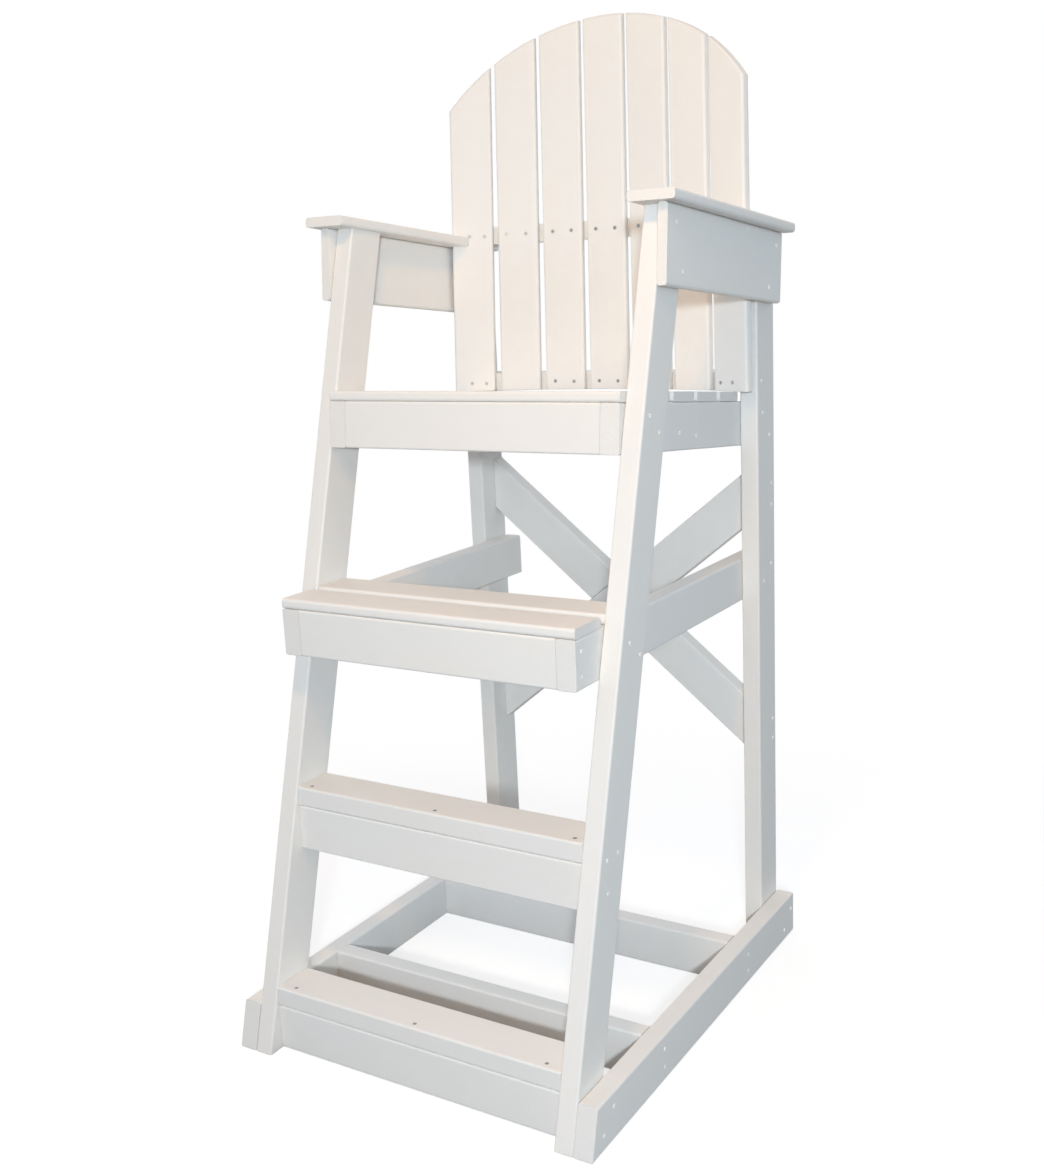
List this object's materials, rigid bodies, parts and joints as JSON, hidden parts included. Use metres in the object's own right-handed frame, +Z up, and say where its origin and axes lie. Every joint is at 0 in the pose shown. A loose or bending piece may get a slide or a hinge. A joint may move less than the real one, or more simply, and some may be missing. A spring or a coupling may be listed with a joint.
{
  "type": "lifeguard chair",
  "caption": "Tall open-frame lifeguard chair with raked ladder legs, board steps, a footrest, a slatted seat, flat arms and a hollow slatted back with an arched top.",
  "frame": {"origin": "floor level, under the middle of the chair's width and of its overall length", "axes": "+X to the chair's right as seen from the front, +Y to the rear, +Z up; the steps and footrest face -Y"},
  "size_m": [0.788, 0.943, 1.9549],
  "materials": {
    "frame_lumber": "matte, faintly brushed",
    "board_lumber": "matte, faintly brushed",
    "screw_steel": "satin"
  },
  "bodies": {
    "root": {"front_leg_left": "frame_lumber", "front_leg_right": "frame_lumber", "rear_leg_left": "frame_lumber", "rear_leg_right": "frame_lumber", "base_runner_left": "frame_lumber", "base_runner_right": "frame_lumber", "base_cross_front": "frame_lumber", "base_cross_rear": "frame_lumber", "lower_step_tread": "frame_lumber", "lower_step_riser": "frame_lumber", "upper_step_tread": "frame_lumber", "upper_step_riser": "frame_lumber", "footrest_rail_left": "frame_lumber", "footrest_rail_right": "frame_lumber", "footrest_fascia": "frame_lumber", "footrest_board_front": "board_lumber", "footrest_board_rear": "board_lumber", "seat_rail_left": "frame_lumber", "seat_rail_right": "frame_lumber", "seat_apron": "frame_lumber", "seat_slat_1": "board_lumber", "seat_slat_2": "board_lumber", "seat_slat_3": "board_lumber", "seat_slat_4": "board_lumber", "seat_slat_5": "board_lumber", "back_rail_lower": "frame_lumber", "back_rail_upper": "frame_lumber", "back_slat_1": "board_lumber", "back_slat_2": "board_lumber", "back_slat_3": "board_lumber", "back_slat_4": "board_lumber", "back_slat_5": "board_lumber", "back_slat_6": "board_lumber", "back_slat_7": "board_lumber", "arm_left": "board_lumber", "arm_right": "board_lumber", "arm_panel_left": "board_lumber", "arm_panel_right": "board_lumber", "brace_long": "frame_lumber", "brace_short_upper": "frame_lumber", "brace_short_lower": "frame_lumber"}
  },
  "joints": []
}
